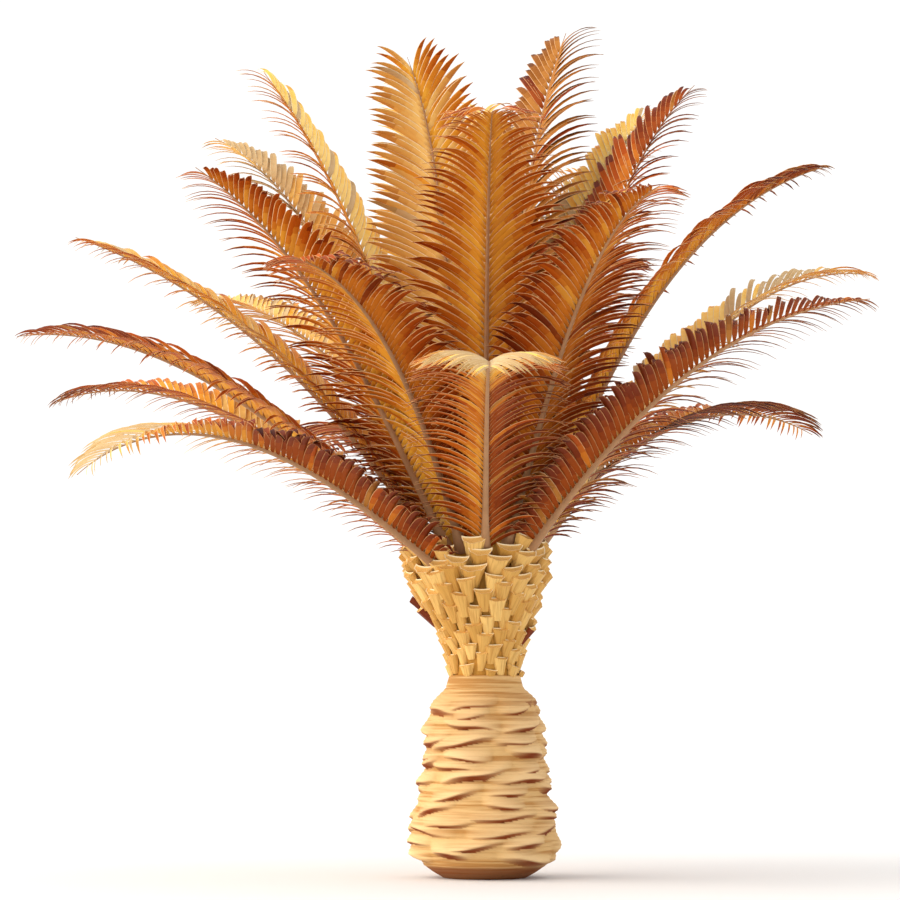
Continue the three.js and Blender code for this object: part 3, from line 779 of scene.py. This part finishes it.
# %% [markdown]
# ## The ribs
#
# A rib is broad and flat where it clasps the stem, and then a tapering rod, flat or slightly hollow on
# its upper face and round below. It is modelled once, straight and a metre long, as a cylinder cut into
# rings, and each copy is bent along its own frond's line. Dry, it is a smooth, woody brown, paler in
# patches, with a dull sheen.

# %% One straight rib
RIB_HALF_WIDTH = [
    (0, 0.070), (0.02, 0.056), (0.05, 0.038), (0.12, 0.027), (0.3, 0.021), (0.7, 0.011), (1, 0.002),
]
RIB_DEPTH = [(0, 0.050), (0.05, 0.044), (0.12, 0.036), (0.3, 0.028), (0.7, 0.015), (1, 0.004)]
RIB_END = 0.98  # the last leaflets reach past it
RIB_SIDES, RIB_CUTS = 10, (11, 3)
TOP_HEIGHT, TOP_CROWN, TOP_HOLLOW = 0.30, 0.1, 0.25  # of the rib's depth, above the line of its sides


def between(pairs, share):
    """The value at a share of the way, between the two nearest pairs of share and value."""
    places, values = zip(*pairs)
    return np.interp(share, places, values)


rod = cylinder("rib", RIB_SIDES, 1.0, RIB_CUTS)
rod_points = points_of(rod)
turn = np.arctan2(rod_points[:, 1], rod_points[:, 0])
rod_across = np.cos(turn)
on_top = np.sin(turn) > 0.1
top = TOP_HEIGHT + TOP_CROWN * np.sin(turn) - TOP_HOLLOW * np.sin(turn) ** 6
rod_above = np.where(on_top, top, np.sin(turn))
rod_share = rod_points[:, 2]
print("rib:", len(rod.data.polygons), "faces")

# %% Rib material
RIB_PATCHES = 9  # to the metre

dry_rib, tree = new_material("dry palm rib")
place = add_node(tree, "ShaderNodeTexCoord")
patches = add_node(tree, "ShaderNodeTexNoise", {
    "Vector": place.outputs["Object"], "Scale": RIB_PATCHES, "Detail": 4})
worn = add_node(tree, "ShaderNodeMix", data_type="RGBA", inputs={
    SHARE: patches.outputs[0], ONE: linear("BA8E66"), OTHER: linear("946C4A")})
bump = add_node(tree, "ShaderNodeBump", {"Strength": 0.25, "Distance": 0.003, "Height": patches.outputs[0]})
finish_material(tree, worn.outputs[MIXED], 0.5, bump.outputs[0])
print(dry_rib.name)

# %% A rib bent along every line
for name, rib in ribs.items():
    shares = np.unique(rod_share.round(6))
    placed = np.empty_like(rod_points)
    for share in shares:
        ring = np.abs(rod_share - share) < SAME_PLACE
        half, depth = between(RIB_HALF_WIDTH, share), between(RIB_DEPTH, share)
        side, above = rib.faces(share * RIB_END)
        placed[ring] = (rib.point(share * RIB_END) + np.outer(rod_across[ring] * half, side)
                        + np.outer(rod_above[ring] * depth, above))
    piece = joined_copies(f"{name}_rib", rod, placed[None], (dry_rib,))
    smooth_by_angle(piece, 50)
    nodes = [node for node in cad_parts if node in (name, f"{name}_foot", f"{name}_tip")]
    settle(piece, "frond", *nodes)
bpy.data.objects.remove(rod)

# %% [markdown]
# ## One leaflet
#
# A leaflet is a stiff narrow blade, folded along its middle like a shallow gutter, with a pale, hard
# margin. It starts as an eight-sided rod that is cut into eight lengths, and the eight corners are laid
# out as the two faces of the fold, with a strip for the margin along each edge. That keeps it to
# sixty-six faces.

# %% Leaflet pattern
LEAFLET_CUTS = 7
INNER = 0.84  # where the margin begins, across the half-blade
# For each corner of the rod: where it lies across the blade, from -1 to 1, and 1 if on the upper face.
LEAFLET_CORNERS = [
    (1, 0), (INNER, 1), (0, 1), (-INNER, 1), (-1, 0), (-INNER, -1), (0, -1), (INNER, -1),
]
CORNERS = len(LEAFLET_CORNERS)
leaflet = cylinder("leaflet", CORNERS, 1.0, (LEAFLET_CUTS,))
bare = points_of(leaflet)
corner = np.rint(np.arctan2(bare[:, 1], bare[:, 0]) / (2 * math.pi / CORNERS)).astype(int) % CORNERS
leaf_across = np.array([LEAFLET_CORNERS[c][0] for c in corner], float)
leaf_face = np.array([LEAFLET_CORNERS[c][1] for c in corner], float)
leaf_share = bare[:, 2]
leaf_faces = [list(face.vertices) for face in leaflet.data.polygons]
on_margin = np.array([min(abs(leaf_across[v]) for v in face) > 0.5 for face in leaf_faces])
face_share = np.array([np.mean(leaf_share[face]) for face in leaf_faces])
print("leaflet:", len(leaflet.data.polygons), "faces")

# %% [markdown]
# ## The colours of dry leaflets
#
# Dead and dying leaflets are stiff and gold or straw at first, and turn amber, rust and dark russet.
# Each colour is a set of five plain materials, dealt out leaflet by leaflet: the yellow foot, a shoulder
# halfway to the blade's colour, the blade, the browner tip, and the pale horny margin that outlines every
# leaflet. The yellow foot and the browner tip are partly the dry leaflet's own colour, as the tip dries
# first, and partly painted light and shade: the foot painted as lit by the rib, the tip as shaded where the
# blade bends away. Along a wing, the leaflets go from one of its colours to the next by way of those that
# stand between them in this list.

# %% Leaflet materials
LEAFLET_COLOURS = {  # at the foot, along the blade, at the tip, and on the margin
    "gold": ("FFDC84", "FCCC62", "EAAA44", "FDEFC4"),
    "straw": ("D0B284", "C6A472", "B48E56", "E0CCA6"),
    "tan": ("E8BC6C", "DEA856", "CA8C42", "F5DCB0"),
    "honey": ("E8A838", "D88A2A", "B4601A", "F4D09A"),
    "amber": ("E29A30", "C86E1C", "A0460C", "F0C48E"),
    "copper": ("D68E30", "B8580F", "8A360A", "E6B882"),
    "rust": ("C06C1C", "A6480E", "782C0A", "E0AC78"),
    "russet": ("90400E", "722A09", "541806", "C0885A"),
    "umber": ("AC7030", "8E541A", "6A3A10", "CCA074"),
}
LEAFLET_PARTS = ("foot", "shoulder", "blade", "tip", "margin")
MARGIN = LEAFLET_PARTS.index("margin")
LEAFLET_ROUGHNESS, LEAFLET_SHINE = 0.5, 0.08  # the wax on a dry leaflet is nearly dull


def leaflet_material(name, code):
    """One part of a leaflet, in one plain colour."""
    material, tree = new_material(name)
    finish_material(tree, linear(code), LEAFLET_ROUGHNESS, shine=LEAFLET_SHINE)
    return material


def halfway(one, other):
    """The sRGB hex code halfway between two others."""
    pairs = ((int(one[i:i + 2], 16), int(other[i:i + 2], 16)) for i in (0, 2, 4))
    return "".join(f"{sum(pair) // 2:02X}" for pair in pairs)


leaflet_materials = {}
for name, (foot, blade, tip, margin) in LEAFLET_COLOURS.items():
    codes = (foot, halfway(foot, blade), blade, tip, margin)
    leaflet_materials[name] = [leaflet_material(f"dry palm leaflet, {name} {part}", code)
                               for part, code in zip(LEAFLET_PARTS, codes)]
print(len(leaflet_materials), "colours of leaflet, each of", len(LEAFLET_PARTS), "materials")

# %% [markdown]
# ## Leaflets along every rib
#
# Leaflets leave the rib in two raised wings, a hand's width of rib for every two or three, at a wide
# angle near the foot and nearly forwards at the tip. Each arches over towards the frond's underside, and
# its own weight pulls its tip down. At the rib its blade lies in the plane of the wing, tilted just
# enough for neighbours to shingle, and it turns about its own length as it arches. So the wing that turns
# from the eye shows as fine curved lines, and the other as broad plates.

# %% Leaflet placing
LEAFLETS_PER_SIDE = 66
FIRST_LEAFLET, LAST_LEAFLET = 0.03, 0.945
LEAFLET_LENGTH = [
    (0, 0.22), (0.05, 0.45), (0.12, 0.61), (0.25, 0.72), (0.42, 0.75), (0.6, 0.71), (0.75, 0.62),
]
LENGTH_BY_THE_TIP = {  # the old outer fronds have the shortest leaflets at their tips
    "outer": [(0.86, 0.44), (0.92, 0.28), (0.95, 0.16)],
    "middle": [(0.86, 0.47), (0.92, 0.32), (0.95, 0.20)],
    "inner": [(0.86, 0.55), (0.92, 0.45), (0.95, 0.36)],
}
LENGTH_SCATTER = (0.94, 1.05)
NARROWER = {"outer": 0.5, "middle": 0.10, "inner": 0.05}  # how much narrower the leaflets are by the tip
NARROWS_FROM_TO = (0.45, 0.85)
SLIMMEST, FULL_WIDTH_PER_METRE = 0.12, 1 / 0.6  # a leaflet under about half a metre is slimmer too
LEAVING_ANGLE = [(0, 62), (0.3, 55), (0.6, 49), (0.85, 39), (0.95, 22)]
LEAVING_SCATTER, WING_SCATTER = 2.5, 3  # degrees
LEAVES_RIB_AT = 0.7  # of the rib's half-width, out from its middle
STAGGER = {1: 0.25, -1: 0.75}  # leaflets of the left and the right wing take turns
ARCH = (44, 62)  # degrees that a leaflet bends over, from its foot to its tip
SAG = 0.22
LEAFLET_TWIST = -0.32  # radians that the blade turns about its own length, by its tip
TWIST_SCATTER = (0.8, 1.2)
LOUVRE = 0.10  # radians that a leaflet is turned about its own length, so that neighbours shingle
LOUVRE_SCATTER = 0.07
LEAFLET_HALF_WIDTH = [
    (0, 0.012), (0.08, 0.026), (0.2, 0.032), (0.6, 0.032), (0.8, 0.024), (0.93, 0.011), (1, 0.001),
]
LEAFLET_THICKNESS = 0.0022
FOLD_DEPTH = 0.22  # of the gutter, against the half-width
COLOUR_SPREAD = (0.1, 0.9)  # where along the rib a wing has its first and its last colour
COLOUR_SCATTER = 0.35  # of the step from one colour to the next
FOOT_ENDS, SHOULDER, TIP_STARTS = (0.12, 0.25, 0.25, 0.37), 0.13, (0.62, 0.75, 0.87)
print(2 * LEAFLETS_PER_SIDE * len(ribs), "leaflets to place")

# %% One leaflet in its place


def unit(vector):
    return vector / np.linalg.norm(vector)


def leaflet_points(rib, lengths, narrower, share, wing, grow):
    """The points of one leaflet, which arches over about its own width, towards the frond's underside."""
    tangent = rib.tangent(share)
    side, above = rib.faces(share)
    leaving = math.radians(between(LEAVING_ANGLE, share) + grow.uniform(-LEAVING_SCATTER, LEAVING_SCATTER))
    raised = math.radians(rib.wing_rise + grow.uniform(-WING_SCATTER, WING_SCATTER))
    outward = math.cos(raised) * wing * side + math.sin(raised) * above
    heading = math.cos(leaving) * tangent + math.sin(leaving) * outward
    upper = math.cos(raised) * above - math.sin(raised) * wing * side
    width_axis = unit(tangent - np.dot(tangent, heading) * heading)
    arch = math.radians(grow.uniform(*ARCH))
    length = between(lengths, share) * grow.uniform(*LENGTH_SCATTER)
    slim = min(1.0, SLIMMEST + length * FULL_WIDTH_PER_METRE)
    slim *= 1 - narrower * smoothstep(share, *NARROWS_FROM_TO)
    louvre = LOUVRE + grow.uniform(-LOUVRE_SCATTER, LOUVRE_SCATTER)
    twist = LEAFLET_TWIST * grow.uniform(*TWIST_SCATTER)

    def direction(along):
        bent = math.cos(arch * along) * heading - math.sin(arch * along) * upper
        return unit(bent - UPWARD * SAG * along ** 2)

    here = rib.point(share) + side * wing * between(RIB_HALF_WIDTH, share) * LEAVES_RIB_AT
    placed = np.empty_like(bare)
    step = 1 / (LEAFLET_CUTS + 1)
    for number in range(LEAFLET_CUTS + 2):
        along = number * step
        if number:
            here = here + direction(along - step / 2) * length * step
        forward = direction(along)
        across = unit(width_axis - np.dot(width_axis, forward) * forward)
        face = np.cross(across, forward) * wing
        roll = louvre + twist * along
        across, face = (math.cos(roll) * across + math.sin(roll) * face,
                        math.cos(roll) * face - math.sin(roll) * across)
        ring = np.abs(leaf_share - along) < SAME_PLACE
        half = between(LEAFLET_HALF_WIDTH, along) * slim
        lift = FOLD_DEPTH * half * np.abs(leaf_across[ring]) + LEAFLET_THICKNESS / 2 * leaf_face[ring]
        placed[ring] = here + np.outer(leaf_across[ring] * half, across) + np.outer(lift, face)
    return placed


# %% The leaflets, dealt out by colour
grow = random.Random(27)
sprays = {name: [] for name in LEAFLET_COLOURS}
slots = {name: [] for name in LEAFLET_COLOURS}
order = list(LEAFLET_COLOURS)
for name, rib in ribs.items():
    kind = name.split("_")[0]
    lengths, narrower = LEAFLET_LENGTH + LENGTH_BY_THE_TIP[kind], NARROWER[kind]
    # A wing's colours carry painted light and shade as well as the leaflets' own colours.
    left_colours, right_colours = FRONDS[name][-2:]
    for wing, colours in ((1, left_colours), (-1, right_colours)):
        shades = [order.index(colour) for colour in colours.split()]
        places = np.linspace(*COLOUR_SPREAD, len(shades))
        for number in range(LEAFLETS_PER_SIDE):
            along = (number + STAGGER[wing]) / LEAFLETS_PER_SIDE
            share = FIRST_LEAFLET + (LAST_LEAFLET - FIRST_LEAFLET) * along
            shade = np.interp(share, places, shades) + grow.gauss(0, COLOUR_SCATTER)
            colour = order[int(np.clip(round(shade), 0, len(order) - 1))]
            sprays[colour].append(leaflet_points(rib, lengths, narrower, share, wing, grow))
            # The lighter foot and the darker tip are partly painted light and shade.
            foot_end = grow.choice(FOOT_ENDS)
            part = np.digitize(face_share, (foot_end, foot_end + SHOULDER, grow.choice(TIP_STARTS)))
            slots[colour].append(np.where(on_margin, MARGIN, part))

for colour, placed in sprays.items():
    if placed:
        piece = joined_copies(f"leaflets_{colour}", leaflet, np.array(placed), leaflet_materials[colour],
                              slots=np.array(slots[colour]))
        settle(piece, "frond")
bpy.data.objects.remove(leaflet)
print("leaflets:", sum(len(placed) for placed in sprays.values()))
